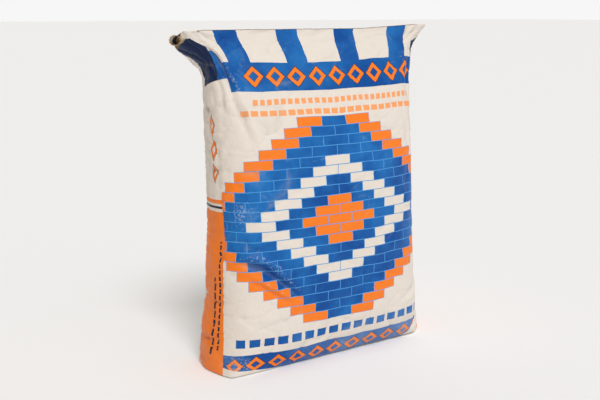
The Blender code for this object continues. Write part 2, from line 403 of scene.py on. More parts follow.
# Folds and creases that the photo shows, as lines on the fabric, u and v in metres, from the middle of the
# front and from the base: the line, its half width, its depth, and how high the cloth stands up beside it
FOLDS = (
    (((-0.225, 0.578), (-0.205, 0.535), (-0.187, 0.495), (-0.172, 0.445), (-0.160, 0.400)), 0.0060, 0.0068, 0.8),
    (((-0.238, 0.555), (-0.222, 0.510), (-0.210, 0.470), (-0.205, 0.430)), 0.0055, 0.0036, 0.7),
    (((-0.180, 0.560), (-0.150, 0.520), (-0.125, 0.470)), 0.0060, 0.0022, 0.6),
    (((-0.205, 0.196), (-0.170, 0.203), (-0.142, 0.187), (-0.115, 0.163), (-0.085, 0.128)), 0.0058, 0.0080, 1.0),
    (((-0.176, 0.170), (-0.150, 0.162), (-0.122, 0.140), (-0.096, 0.118)), 0.0048, 0.0046, 0.9),
    (((-0.200, 0.232), (-0.170, 0.228), (-0.130, 0.205)), 0.0060, 0.0020, 0.6),
    (((-0.190, 0.110), (-0.150, 0.092), (-0.100, 0.088)), 0.0060, 0.0016, 0.5),
    (((-0.040, 0.130), (0.020, 0.105), (0.080, 0.100)), 0.0060, 0.0014, 0.5),
    (((-0.276, 0.420), (-0.252, 0.395), (-0.222, 0.402)), 0.0055, 0.0036, 0.7),
    (((-0.290, 0.465), (-0.262, 0.440), (-0.232, 0.452)), 0.0050, 0.0034, 0.7),
    (((-0.285, 0.365), (-0.255, 0.352), (-0.225, 0.368)), 0.0050, 0.0026, 0.6),
    (((-0.300, 0.185), (-0.265, 0.195), (-0.232, 0.212)), 0.0050, 0.0030, 0.7),
    (((-0.310, 0.062), (-0.265, 0.056), (-0.222, 0.068)), 0.0045, 0.0028, 0.8),
    (((-0.243, 0.430), (-0.240, 0.350), (-0.238, 0.270), (-0.236, 0.180)), 0.0050, 0.0018, 0.6),
    (((0.150, 0.470), (0.168, 0.420), (0.172, 0.350), (0.165, 0.290)), 0.0070, 0.0026, 0.6),
    (((0.060, 0.590), (0.075, 0.555), (0.095, 0.520)), 0.0060, 0.0020, 0.5),
    (((0.182, 0.585), (0.158, 0.545), (0.150, 0.500)), 0.0060, 0.0034, 0.7),
    (((0.215, 0.570), (0.195, 0.525), (0.186, 0.470), (0.190, 0.420)), 0.0065, 0.0040, 0.7),
    (((-0.090, 0.600), (-0.080, 0.565), (-0.060, 0.530)), 0.0070, 0.0016, 0.4),
    (((0.215, 0.130), (0.185, 0.098), (0.130, 0.082)), 0.0055, 0.0028, 0.7),
    (((0.222, 0.056), (0.196, 0.030), (0.170, 0.006)), 0.0045, 0.0030, 0.9),
    (((0.190, 0.240), (0.140, 0.215), (0.090, 0.220)), 0.0070, 0.0016, 0.5),
    (((0.285, 0.430), (0.255, 0.395), (0.222, 0.405)), 0.0055, 0.0034, 0.7),
    (((0.290, 0.300), (0.250, 0.280), (0.215, 0.292)), 0.0050, 0.0022, 0.6),
    (((0.300, 0.150), (0.255, 0.130), (0.215, 0.142)), 0.0050, 0.0020, 0.6),
    (((0.520, 0.520), (0.480, 0.440), (0.450, 0.390)), 0.0070, 0.0034, 0.6),
    (((-0.520, 0.500), (-0.480, 0.430), (-0.440, 0.385)), 0.0070, 0.0032, 0.6),
    (((0.400, 0.210), (0.460, 0.170), (0.530, 0.150)), 0.0060, 0.0026, 0.7),
    (((-0.500, 0.290), (-0.450, 0.235), (-0.390, 0.205)), 0.0060, 0.0028, 0.7),
    (((-0.380, 0.480), (-0.372, 0.430), (-0.335, 0.395)), 0.0065, 0.0034, 0.7),
    (((0.380, 0.480), (0.375, 0.425), (0.335, 0.395)), 0.0065, 0.0034, 0.7),
    (((0.540, 0.380), (0.500, 0.340), (0.440, 0.330)), 0.0065, 0.0020, 0.5),
)
FOLD_WANDER = 0.006  # how far a fold strays from its line
FOLD_WANDER_SIZE = 0.032
count = len(mesh.vertices)
co = np.empty(count * 3, np.float32)
normal = np.empty(count * 3, np.float32)
mesh.vertices.foreach_get("co", co)
mesh.vertices.foreach_get("normal", normal)
co = co.reshape(-1, 3).astype(float)
normal = normal.reshape(-1, 3)
loop_vertex = np.empty(len(mesh.loops), np.int32)
loop_uv = np.empty(len(mesh.loops) * 2, np.float32)
mesh.loops.foreach_get("vertex_index", loop_vertex)
mesh.uv_layers["fabric"].data.foreach_get("uv", loop_uv)
loop_uv = loop_uv.reshape(-1, 2)
uv = np.full((count, 2), UNPRINTED_V)
printed = loop_uv[:, 1] > UNPRINTED_V + 0.001
printed |= loop_uv[:, 1] < UNPRINTED_V - 0.001
uv[loop_vertex[printed]] = loop_uv[printed]
uv[:, 0] = (uv[:, 0] + HALF_ROUND) % (2 * HALF_ROUND) - HALF_ROUND
on_wall = smooth_step(0.0, 0.02, uv[:, 1]) * (1 - smooth_step(TOP_V - 0.006, TOP_V, uv[:, 1]))


def grain(places, size):
    """Smooth noise of about -1 to 1 at places, with waves of about the size."""
    return np.array([noise.noise(Vector(p)) for p in places / size])


stray = np.stack([grain(co, FOLD_WANDER_SIZE), grain(co + 7.0, FOLD_WANDER_SIZE)], -1)
uneven_depth = 0.75 + 0.6 * grain(co + 3.0, 0.05)
strayed = uv + FOLD_WANDER * stray
push = np.zeros(count)
for line, half_width, depth, lip in FOLDS:
    line = np.array(line)
    steps = np.linspace(0, len(line) - 1, 12 * len(line))
    smooth_line = np.array([between_stations(line[:, None], s)[0] for s in steps])
    run = np.linalg.norm(np.diff(smooth_line, axis=0), axis=1)
    along = np.concatenate([[0], np.cumsum(run)]) / run.sum()
    best = np.full(count, 1e9)
    place = np.zeros(count)
    side = np.ones(count)
    for a, b, at, step_share in zip(smooth_line, smooth_line[1:], along, run / run.sum()):
        step = b - a
        t = np.clip(((strayed - a) @ step) / (step @ step), 0, 1)
        off = strayed - a - t[:, None] * step
        distance = np.linalg.norm(off, axis=1)
        closer = distance < best
        best = np.where(closer, distance, best)
        place = np.where(closer, at + t * step_share, place)
        side = np.where(closer, np.sign(step[0] * off[:, 1] - step[1] * off[:, 0]), side)
    taper = np.sin(np.pi * np.clip(0.04 + 0.92 * place, 0, 1)) ** 0.8
    valley = np.exp(-((best / half_width) ** 1.5))
    ridge = np.exp(-(((best - 2.0 * half_width) / (1.2 * half_width)) ** 2)) * (0.5 + 0.5 * side)
    push += depth * taper * uneven_depth * (lip * ridge - valley)

# Sharp creases that fan out from under each ear, crumples across the sides and at the base, and a lumpy
# body where the cement settled
from_panel_middle = np.minimum(np.abs(uv[:, 0]), 2 * TIP_U - np.abs(uv[:, 0]))
sheet_number = 5.0 * np.sign(uv[:, 0]) + 11.0 * (np.abs(uv[:, 0]) > TIP_U)
down_fan = 0.68 * from_panel_middle + 0.73 * uv[:, 1]
across_fan = 0.73 * from_panel_middle - 0.68 * uv[:, 1]
fan = grain(np.stack([down_fan / 4.5, across_fan, 0.02 * sheet_number], -1), 0.026)
fan_zone = smooth_step(0.10, 0.24, from_panel_middle) * smooth_step(0.40, 0.52, uv[:, 1])
across_side = grain(np.stack([uv[:, 0], 2.2 * uv[:, 1], 0.01 * sheet_number], -1), 0.040)
side_zone = smooth_step(0.200, 0.225, from_panel_middle) * (1 - 0.6 * smooth_step(0.44, 0.52, uv[:, 1]))
low_zone = 1 - smooth_step(0.02, 0.10, uv[:, 1])
facets = grain(co + 11.0, 0.055)
slanting = grain(np.stack([co[:, 0] + 0.8 * co[:, 2], 0.4 * co[:, 1], 2.6 * co[:, 2] - 1.2 * co[:, 0]], -1), 0.095)
push -= 0.0036 * fan_zone * (np.exp(-np.abs(fan) / 0.09) - 0.25)
push -= 0.0024 * side_zone * (np.exp(-np.abs(across_side) / 0.08) - 0.25)
push -= 0.0012 * low_zone * (np.exp(-np.abs(facets) / 0.08) - 0.25)
push -= 0.0014 * (np.exp(-np.abs(facets) / 0.06) - 0.18)
push -= 0.0016 * (np.exp(-np.abs(slanting) / 0.05) - 0.15)
push += 0.0024 * grain(co, 0.075)
co += normal * (push * on_wall)[:, None]
mesh.vertices.foreach_set("co", co.astype(np.float32).ravel())
mesh.update()

# Where hands, pallets and other sacks have rubbed the print: the ridges, the edges, and patches given by their
# middle on the fabric and their radius; and where the cloth is greyed: in the creases, cement dust and painted shade,
# and near the base, dust
RUBBED_PATCHES = ((-0.185, 0.285, 0.034), (-0.195, 0.018, 0.045), (0.160, 0.030, 0.030))
rubbed = 0.70 * smooth_step(0.0006, 0.0030, push)
for patch_u, patch_v, radius in RUBBED_PATCHES:
    rubbed = np.maximum(rubbed, 0.85 * np.exp(-(((uv - (patch_u, patch_v)) / radius) ** 2).sum(1)))
rubbed = np.maximum(rubbed, 0.7 * (1 - smooth_step(0.0, 0.016, uv[:, 1])))
# Greyer in the creases, as painted shade and dust, and near the base
dust_and_crease_shade = np.maximum(smooth_step(0.0002, 0.0030, -push), 0.7 * low_zone)
for name, values in (("rubbed", rubbed), ("dust_and_crease_shade", dust_and_crease_shade)):
    layer = mesh.attributes.new(name, "FLOAT", "POINT")
    layer.data.foreach_set("value", np.clip(values, 0, 1).astype(np.float32))


def linear(hex_colour):
    """An sRGB hex colour as linear RGBA."""
    channels = [int(hex_colour[i : i + 2], 16) / 255 for i in (1, 3, 5)]
    return (*[c / 12.92 if c <= 0.04045 else ((c + 0.055) / 1.055) ** 2.4 for c in channels], 1.0)


def add_node(tree, kind, *inputs, named=None, **settings):
    """Adds a node with its settings. An input is a value, a node, or one of a node's output sockets."""
    made = tree.nodes.new(kind)
    for name, value in settings.items():
        setattr(made, name, value)
    for place, value in (*enumerate(inputs), *(named or {}).items()):
        if isinstance(value, bpy.types.Node):
            tree.links.new(made.inputs[place], value.outputs[0])
        elif isinstance(value, bpy.types.NodeSocket):
            tree.links.new(made.inputs[place], value)
        elif value is not None:
            made.inputs[place].default_value = value
    return made


# Laminated woven polypropylene: flat tapes woven plain, with a thin clear film melted over them and flexo
# print in blue and orange under it, so the eye sees a soft gloss, a faint grid and crisp-edged flat colour
FILM_WHITE = linear("#E2D9CF")
SHADED_WHITE = linear("#D8CEBC")
DEEP_BLUE = linear("#004A96")
LIGHT_BLUE = linear("#1E78C2")
SHADED_BLUE = linear("#07214A")
JOINT_BLUE = linear("#4C97D6")
PRINT_ORANGE = linear("#F57E22")
PALE_ORANGE = linear("#F5A267")
PRINT_DARK = linear("#0C1A38")
WORN_INK = linear("#C9CBD0")
DUST_AND_SHADE_GREY = linear("#B3AA9C")
TAPE = 0.0040  # real tapes are 2.5 mm wide, drawn coarser to show at all
MATH = "ShaderNodeMath"

film = bpy.data.materials.new("laminated_woven_polypropylene")
film.use_nodes = True
ink = film.node_tree
shader = ink.nodes["Principled BSDF"]
fabric_uv = add_node(ink, "ShaderNodeUVMap", uv_map="fabric")
fabric_place = add_node(ink, "ShaderNodeSeparateXYZ", fabric_uv)
v = fabric_place.outputs[1]
u = add_node(ink, MATH, fabric_place.outputs[0], HALF_ROUND, -HALF_ROUND, operation="WRAP")
across = add_node(ink, MATH, u, TIP_U, -TIP_U, operation="WRAP")  # from the middle of the front or the back
outward = add_node(ink, MATH, across, operation="ABSOLUTE")
from_middle = add_node(ink, MATH, u, operation="ABSOLUTE")
on_front_half = add_node(ink, MATH, from_middle, TIP_U, operation="LESS_THAN")
panel_half = add_node(ink, "ShaderNodeMapRange", v, 0.0, 0.12, 0.224, 0.234)
drawn_in = add_node(ink, "ShaderNodeMapRange", v, 0.43, 0.50, 0.0, 0.021)
panel_half = add_node(ink, MATH, panel_half, drawn_in, operation="SUBTRACT")
on_panel = add_node(ink, MATH, outward, panel_half, operation="LESS_THAN")
on_side = add_node(ink, MATH, outward, panel_half, operation="GREATER_THAN")
is_printed = add_node(ink, MATH, v, TOP_V / 2, TOP_V / 2 + 0.0005, operation="COMPARE")
colour = add_node(ink, "ShaderNodeRGB")
colour.outputs[0].default_value = FILM_WHITE
where = add_node(ink, "ShaderNodeTexCoord").outputs["Object"]
patches = add_node(ink, "ShaderNodeTexNoise", named={"Vector": where, "Scale": 9.0, "Detail": 6.0, "Roughness": 0.62})
# The blue is laid lighter and darker in soft patches: partly uneven ink, partly painted sheen and painted shade of the
# glossy film over its folds
ink_tone_and_sheen = add_node(ink, "ShaderNodeMapRange", patches, 0.40, 0.66, 0.0, 0.85)
blue = add_node(
    ink, "ShaderNodeMix", named={0: ink_tone_and_sheen, 6: DEEP_BLUE, 7: LIGHT_BLUE}, data_type="RGBA"
).outputs[2]


def lay_ink(under, hue, *masks):
    """The print so far with another ink over it, where every mask is 1."""
    inked = is_printed
    for mask in masks:
        inked = add_node(ink, MATH, inked, mask, operation="MULTIPLY")
    return add_node(ink, "ShaderNodeMix", named={0: inked, 6: under, 7: hue}, data_type="RGBA").outputs[2]


# Side strips: orange below, with a level top edge and two thin lines over it
ORANGE_TOP = 0.286
below_top = add_node(ink, MATH, v, ORANGE_TOP, operation="LESS_THAN")
colour = lay_ink(colour, PRINT_ORANGE, on_side, below_top)
for line_height, line_half, hue in ((0.294, 0.0022, PRINT_DARK), (0.304, 0.0035, PRINT_ORANGE)):
    on_line = add_node(ink, MATH, v, line_height, line_half, operation="COMPARE")
    colour = lay_ink(colour, hue, on_side, on_line)

# The header band, which runs on round the ear to the middle of the side, with a fan of plain bars above it
HEADER = (0.487, 0.537)
EAR_WHITE = 0.566  # above this the ear's end is white
header_middle = (HEADER[0] + HEADER[1]) / 2
in_header = add_node(ink, MATH, v, header_middle, (HEADER[1] - HEADER[0]) / 2, operation="COMPARE")
above_band = add_node(ink, MATH, v, HEADER[0], operation="GREATER_THAN")
below_white = add_node(ink, MATH, v, EAR_WHITE, operation="LESS_THAN")
colour = lay_ink(colour, blue, on_panel, in_header)
# Where the band runs on round the ear onto the side it is laid in a darker blue: painted shade under the overhanging
# ear
colour = lay_ink(colour, SHADED_BLUE, on_side, on_front_half, above_band, below_white)
spread = add_node(ink, MATH, v, 1.6, 1.0 - 1.6 * HEADER[1], operation="MULTIPLY_ADD")
ray = add_node(ink, MATH, across, spread, operation="DIVIDE")
ray = add_node(ink, MATH, ray, 0.108, operation="FLOORED_MODULO")
ray_bar = add_node(ink, MATH, ray, 0.054, 0.0195, operation="COMPARE")
colour = lay_ink(colour, blue, on_panel, above_band, ray_bar)

# The tips of both ears painted dark brown: painted shade of their open ends
shaded_tip = add_node(ink, MATH, from_middle, TIP_U, 0.024, operation="COMPARE")
near_top = add_node(ink, MATH, v, TOP_V - 0.036, operation="GREATER_THAN")
colour = lay_ink(colour, linear("#7A6142"), shaded_tip, near_top)

# The footer band, whose lower edge slips under the bag's edge except near the left corner, where the plain
# margin shows, and at the right corner, which is folded up
FOOTER_TOP = 0.040
in_footer = add_node(ink, MATH, v, FOOTER_TOP, operation="LESS_THAN")
left_margin = add_node(ink, MATH, u, -0.13, -0.013, operation="MULTIPLY_ADD")
right_margin = add_node(ink, MATH, u, 0.95, -0.158, operation="MULTIPLY_ADD")
margin = add_node(ink, MATH, left_margin, right_margin, operation="MAXIMUM")
above_margin = add_node(ink, MATH, v, margin, operation="GREATER_THAN")
colour = lay_ink(colour, blue, on_panel, in_footer, above_margin)

# Chains of hollow lozenges along the header and the footer and up each side: the coordinate that they run
# along and the one across them, start, end, middle, pitch, half height, and the part that they are on
LOZENGES = (
    (across, v, -0.1620, 0.2025, header_middle, 0.0405, 0.0185, on_panel),
    (across, v, -0.220, 0.220, 0.0205, 0.0400, 0.0150, above_margin),
    (v, from_middle, 0.334, 0.446, 0.2580, 0.0373, 0.0125, on_side),
)
for along, beside, start, end, middle, pitch, half_height, part in LOZENGES:
    offset = add_node(ink, MATH, along, start, operation="SUBTRACT")
    spot = add_node(ink, MATH, offset, pitch, operation="FLOORED_MODULO")
    spot = add_node(ink, MATH, spot, pitch / 2, operation="SUBTRACT")
    run = add_node(ink, MATH, spot, operation="ABSOLUTE")
    run = add_node(ink, MATH, run, 0.46 * pitch, operation="DIVIDE")
    rise = add_node(ink, MATH, beside, middle, operation="SUBTRACT")
    rise = add_node(ink, MATH, rise, operation="ABSOLUTE")
    rise = add_node(ink, MATH, rise, half_height, operation="DIVIDE")
    size = add_node(ink, MATH, run, rise, operation="ADD")
    reach = add_node(ink, MATH, along, (start + end) / 2, (end - start) / 2, operation="COMPARE")
    shadow = add_node(ink, MATH, size, 0.74, 0.30, operation="COMPARE")
    body = add_node(ink, MATH, size, 0.72, 0.24, operation="COMPARE")
    colour = lay_ink(colour, PRINT_DARK, shadow, reach, part)
    colour = lay_ink(colour, PRINT_ORANGE, body, reach, part)

# The field of bricks on the front, a many-stepped lozenge with its four points cut off. row and cell find
# the brick that a place is in, and ring counts the half bricks and courses from the brick in the middle
BRICK_LENGTH = 0.050
COURSE = 0.0170
BRICK_JOINT = 0.0013
WALL_MIDDLE = 0.263
WALL_COURSES = 10  # above and below the middle one
OUTER_RING = 12
WHITE_RING = 6
ORANGE_RING = 2
row = add_node(ink, MATH, v, WALL_MIDDLE - COURSE / 2, operation="SUBTRACT")
row = add_node(ink, MATH, row, COURSE, operation="DIVIDE")
row = add_node(ink, MATH, row, operation="FLOOR")
brick_v = add_node(ink, MATH, row, COURSE, WALL_MIDDLE, operation="MULTIPLY_ADD")
odd = add_node(ink, MATH, row, 2.0, operation="FLOORED_MODULO")
shift = add_node(ink, MATH, odd, 1.0, 1.0, operation="ADD")
shift = add_node(ink, MATH, shift, BRICK_LENGTH / 2, operation="MULTIPLY")
cell = add_node(ink, MATH, u, shift, operation="ADD")
cell = add_node(ink, MATH, cell, BRICK_LENGTH, operation="DIVIDE")
cell = add_node(ink, MATH, cell, operation="FLOOR")
brick_u = add_node(ink, MATH, cell, BRICK_LENGTH, BRICK_LENGTH / 2, operation="MULTIPLY_ADD")
brick_u = add_node(ink, MATH, brick_u, shift, operation="SUBTRACT")
in_brick_v = add_node(ink, MATH, v, brick_v, (COURSE - BRICK_JOINT) / 2, operation="COMPARE")
in_brick_u = add_node(ink, MATH, u, brick_u, (BRICK_LENGTH - BRICK_JOINT) / 2, operation="COMPARE")
half_bricks = add_node(ink, MATH, brick_u, operation="ABSOLUTE")
courses = add_node(ink, MATH, row, operation="ABSOLUTE")
ring = add_node(ink, MATH, half_bricks, 2 / BRICK_LENGTH, courses, operation="MULTIPLY_ADD")
in_wall = add_node(ink, MATH, ring, OUTER_RING + 0.5, operation="LESS_THAN")
in_courses = add_node(ink, MATH, courses, WALL_COURSES + 0.5, operation="LESS_THAN")
wall = (on_panel, on_front_half, in_wall, in_courses)
colour = lay_ink(colour, JOINT_BLUE, *wall)
colour = lay_ink(colour, blue, *wall, in_brick_u, in_brick_v)
for ring_number, half_step, hue in (
    (OUTER_RING, 0.5, PRINT_ORANGE),
    (WHITE_RING, 0.5, FILM_WHITE),
    (0, ORANGE_RING + 0.5, PRINT_ORANGE),
):
    on_ring = add_node(ink, MATH, ring, float(ring_number), half_step, operation="COMPARE")
    colour = lay_ink(colour, hue, *wall, on_ring, in_brick_u, in_brick_v)

# Rows of dashes: the coordinate they run along and the one across, start, end, middle, half height, pitch,
# share of the pitch that is inked, the part that they are on, and colour
DASHES = (
    (across, v, -0.150, 0.190, 0.4690, 0.0048, 0.0130, 0.66, on_panel, PALE_ORANGE),
    (across, v, -0.173, 0.197, 0.4500, 0.0048, 0.0170, 0.78, on_panel, PALE_ORANGE),
    (across, v, -0.200, 0.216, 0.0610, 0.0075, 0.0260, 0.72, on_panel, blue),
    (v, from_middle, 0.045, 0.235, 0.2450, 0.0028, 0.0110, 0.72, on_side, PRINT_DARK),
    (v, from_middle, 0.035, 0.170, 0.2620, 0.0032, 0.0160, 0.80, on_side, PRINT_DARK),
)
for along, beside, start, end, middle, half, pitch, inked_share, part, hue in DASHES:
    spot = add_node(ink, MATH, along, start, operation="SUBTRACT")
    spot = add_node(ink, MATH, spot, pitch, operation="FLOORED_MODULO")
    dash = add_node(ink, MATH, spot, inked_share * pitch, operation="LESS_THAN")
    reach = add_node(ink, MATH, along, (start + end) / 2, (end - start) / 2, operation="COMPARE")
    height = add_node(ink, MATH, beside, middle, half, operation="COMPARE")
    colour = lay_ink(colour, hue, dash, reach, height, part)

# Wear: ink rubbed off in scratches on ridges and edges, and a grey in the creases and in soft patches: cement dust,
# and in the creases painted shade as well
rubbed_share =add_node(ink, "ShaderNodeAttribute", attribute_name="rubbed").outputs["Fac"]
dust_and_shade_share = add_node(ink, "ShaderNodeAttribute", attribute_name="dust_and_crease_shade").outputs["Fac"]
scratches = add_node(ink, "ShaderNodeTexNoise", named={"Vector": where, "Scale": 260.0, "Detail": 6.0})
scratched = add_node(ink, MATH, rubbed_share, 0.34, scratches, operation="MULTIPLY_ADD")
scratched = add_node(ink, "ShaderNodeMapRange", scratched, 0.76, 0.96, 0.0, 0.45)
colour = lay_ink(colour, WORN_INK, scratched)
dust_and_shade = add_node(ink, MATH, dust_and_shade_share, 0.30, patches, operation="MULTIPLY_ADD")
dust_and_shade = add_node(ink, "ShaderNodeMapRange", dust_and_shade, 0.62, 0.98, 0.0, 0.34)
colour = add_node(ink, "ShaderNodeMix", named={0: dust_and_shade, 6: colour, 7: DUST_AND_SHADE_GREY}, data_type="RGBA").outputs[2]
ink.links.new(shader.inputs["Base Color"], colour)

# Gloss that varies with handling, tapes that lie over and under each other, and a fine crumple of the film
gloss = add_node(ink, "ShaderNodeMapRange", patches, 0.3, 0.7, 0.34, 0.50)
ink.links.new(shader.inputs["Roughness"], gloss.outputs[0])
shader.inputs["IOR"].default_value = 1.49
shader.inputs["Specular IOR Level"].default_value = 0.22


def woven_tapes(tree, *fabric_axes):
    """The height of a plain weave of flat tapes, from 0 between them to 1 on their backs."""
    crowns = []
    floors = []
    for fabric_axis in fabric_axes:
        tape = add_node(tree, MATH, fabric_axis, TAPE, operation="DIVIDE")
        floors.append(add_node(tree, MATH, tape, operation="FLOOR"))
        turn = add_node(tree, MATH, tape, math.pi, operation="MULTIPLY")
        wave = add_node(tree, MATH, turn, operation="SINE")
        wave = add_node(tree, MATH, wave, operation="ABSOLUTE")
        crowns.append(add_node(tree, MATH, wave, 0.35, operation="POWER"))
    over_under = add_node(tree, MATH, *floors, operation="ADD")
    over_under = add_node(tree, MATH, over_under, 2.0, operation="FLOORED_MODULO")
    return add_node(tree, "ShaderNodeMix", named={0: over_under, 2: crowns[0], 3: crowns[1]}, data_type="FLOAT")


weave = woven_tapes(ink, fabric_place.outputs[0], v)
crumpled = add_node(ink, "ShaderNodeTexNoise", named={"Vector": where, "Scale": 60.0, "Detail": 4.0})
crumpled = add_node(ink, MATH, crumpled, 0.5, operation="SUBTRACT")
crumpled = add_node(ink, MATH, crumpled, operation="ABSOLUTE")
crumpled = add_node(ink, "ShaderNodeMapRange", crumpled, 0.0, 0.09, 0.0, 1.0)
tape_bump = add_node(ink, "ShaderNodeBump", named={"Strength": 0.30, "Distance": 0.0004, "Height": weave})
film_bump = add_node(
    ink,
    "ShaderNodeBump",
    named={"Strength": 0.30, "Distance": 0.0007, "Height": crumpled, "Normal": tape_bump},
)
ink.links.new(shader.inputs["Normal"], film_bump.outputs[0])
mesh.materials.clear()
mesh.materials.append(film)
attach(sack, "root")
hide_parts("filled_sack")

# The valve sleeve: a short tube of uncoated woven cloth, pressed flat to an oval, through which the sack was
# filled. It is welded into the pocket of the ear, and its outer end stands out as a ragged cuff.
SLEEVE_SHEET = 0.0006
SLEEVE_RINGS = (
    (-0.2115, 1.0, 1.0),
    (-0.2280, 1.0, 1.0),
    (-0.2400, 1.0, 1.0),
    (-0.2485, 1.0, 1.0),
    (-0.2508, 1.04, 1.30),
)
CUFF = ((-0.2515, 1.10, 1.52), (-0.2520, 1.16, 1.66))  # x and the shares of both half sizes, at the front
CUFF_BACK_REACH = 0.0092  # how much further out the cuff reaches at the back and top
SHADED_INNER_RINGS = 5  # rings of the inner face, from the inner end, painted dark: painted shade deep in the tube
sleeve_points = []
for wall in (0.0, SLEEVE_SHEET):
    for number, (x, wide_share, thick_share) in enumerate(SLEEVE_RINGS + CUFF):
        ring = oval_ring(x, VALVE_HALF[0] * wide_share - wall, VALVE_HALF[1] * thick_share - wall)
        if number >= len(SLEEVE_RINGS) - 1:
            t = np.linspace(0, 2 * math.pi, VALVE_SIDES, endpoint=False)
            reach = 0.5 + 0.5 * np.sin(t + 0.7)
            ragged = 0.0006 * np.sin(11 * t) + 0.0004 * np.sin(23 * t + 1.0)
            last = number - (len(SLEEVE_RINGS) - 2)
            ring[:, 0] -= (CUFF_BACK_REACH * reach + ragged) * last / 3
        sleeve_points.append(ring)
ring_count = len(SLEEVE_RINGS) + len(CUFF)
sleeve_faces = []
for number in range(ring_count - 1):
    sleeve_faces += ring_faces(number * VALVE_SIDES, (number + 1) * VALVE_SIDES)
    inner = (ring_count + number) * VALVE_SIDES
    sleeve_faces += ring_faces(inner + VALVE_SIDES, inner)
sleeve_faces += ring_faces((ring_count - 1) * VALVE_SIDES, (2 * ring_count - 1) * VALVE_SIDES)
sleeve_faces += ring_faces(ring_count * VALVE_SIDES, 0)
sleeve = new_object("valve_cuff", np.concatenate(sleeve_points), sleeve_faces)
inside = sleeve.data.attributes.new("inside", "FLOAT", "POINT")
inside_rings = [0.0] * ring_count + [1.0] * SHADED_INNER_RINGS + [0.0] * (ring_count - SHADED_INNER_RINGS)
inside.data.foreach_set("value", np.repeat(inside_rings, VALVE_SIDES).astype(np.float32))

# Uncoated woven polypropylene: the same tapes with no film, so the eye sees a dull beige cloth, browner where
# it was handled, and painted dark navy inside the tube: painted shade in its deep hollow
raw = bpy.data.materials.new("uncoated_woven_polypropylene")
raw.use_nodes = True
raw_tree = raw.node_tree
raw_shader = raw_tree.nodes["Principled BSDF"]
raw_where = add_node(raw_tree, "ShaderNodeTexCoord").outputs["Object"]
stain = add_node(raw_tree, "ShaderNodeTexNoise", named={"Vector": raw_where, "Scale": 90.0, "Detail": 4.0})
raw_colour = add_node(raw_tree, "ShaderNodeValToRGB", stain)
raw_colour.color_ramp.elements[0].position = 0.35
raw_colour.color_ramp.elements[0].color = linear("#8F7250")
raw_colour.color_ramp.elements[1].position = 0.62
raw_colour.color_ramp.elements[1].color = linear("#CDBFA2")
is_inside = add_node(raw_tree, "ShaderNodeAttribute", attribute_name="inside").outputs["Fac"]
# Painted shade: the inner rings are mixed to dark navy
inner_shade = add_node(raw_tree, "ShaderNodeMapRange", is_inside, 0.35, 0.60, 0.0, 1.0)
raw_mixed = add_node(
    raw_tree, "ShaderNodeMix", named={0: inner_shade, 6: raw_colour, 7: linear("#0B1730")}, data_type="RGBA"
)
raw_tree.links.new(raw_shader.inputs["Base Color"], raw_mixed.outputs[2])
raw_shader.inputs["Roughness"].default_value = 0.72
threads = add_node(raw_tree, "ShaderNodeTexVoronoi", named={"Vector": raw_where, "Scale": 520.0})
raw_bump = add_node(raw_tree, "ShaderNodeBump", named={"Strength": 0.4, "Distance": 0.0003, "Height": threads})
raw_tree.links.new(raw_shader.inputs["Normal"], raw_bump.outputs[0])
sleeve.data.materials.append(raw)
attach(sleeve, "root")
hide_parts("valve_sleeve")

# The top cover patch: a strip of the same laminated cloth, unprinted, laid over the folded top end and welded
# to it with hot air. Its front edge lies on the fold and shows as a thin brownish line.
PATCH_SHEET = 0.0005
PATCH_GAP = 0.0006
TOP_PATCH_SHARE = 0.904  # of the end's length that the patch covers
TOP_PATCH_DEPTH = (0.0, 0.93)  # from the front fold towards the back one
PATCH_STEPS = (110, 44)
cloth_surface = BVHTree.FromPolygons([v.co.copy() for v in mesh.vertices], [tuple(p.vertices) for p in mesh.polygons])
front_edge, back_edge = end_sides(row_count)
edge_share = np.linspace(0, 1, FRONT_COLUMNS + 1)
patch_points = []
patch_lifts = []
for q in range(PATCH_STEPS[1] + 1):
    b = TOP_PATCH_DEPTH[0] + (TOP_PATCH_DEPTH[1] - TOP_PATCH_DEPTH[0]) * q / PATCH_STEPS[1]
    for p in range(PATCH_STEPS[0] + 1):
        a = 0.5 + (p / PATCH_STEPS[0] - 0.5) * TOP_PATCH_SHARE
        front = [np.interp(a, edge_share, front_edge[:, k]) for k in range(3)]
        back = [np.interp(a, edge_share, back_edge[:, k]) for k in range(3)]
        target = (1 - b) * np.array(front) + b * np.array(back)
        spot, lift, _, _ = cloth_surface.find_nearest(Vector(target))
        patch_points.append(np.array(spot + lift * PATCH_GAP))
        patch_lifts.append(np.array(lift))
wide = PATCH_STEPS[0] + 1
patch_faces = [
    (q * wide + p, q * wide + p + 1, (q + 1) * wide + p + 1, (q + 1) * wide + p)
    for q in range(PATCH_STEPS[1])
    for p in range(PATCH_STEPS[0])
]
patch_points = np.array(patch_points)
patch_grid = patch_points.reshape(PATCH_STEPS[1] + 1, wide, 3)
lift_grid = np.array(patch_lifts).reshape(PATCH_STEPS[1] + 1, wide, 3)


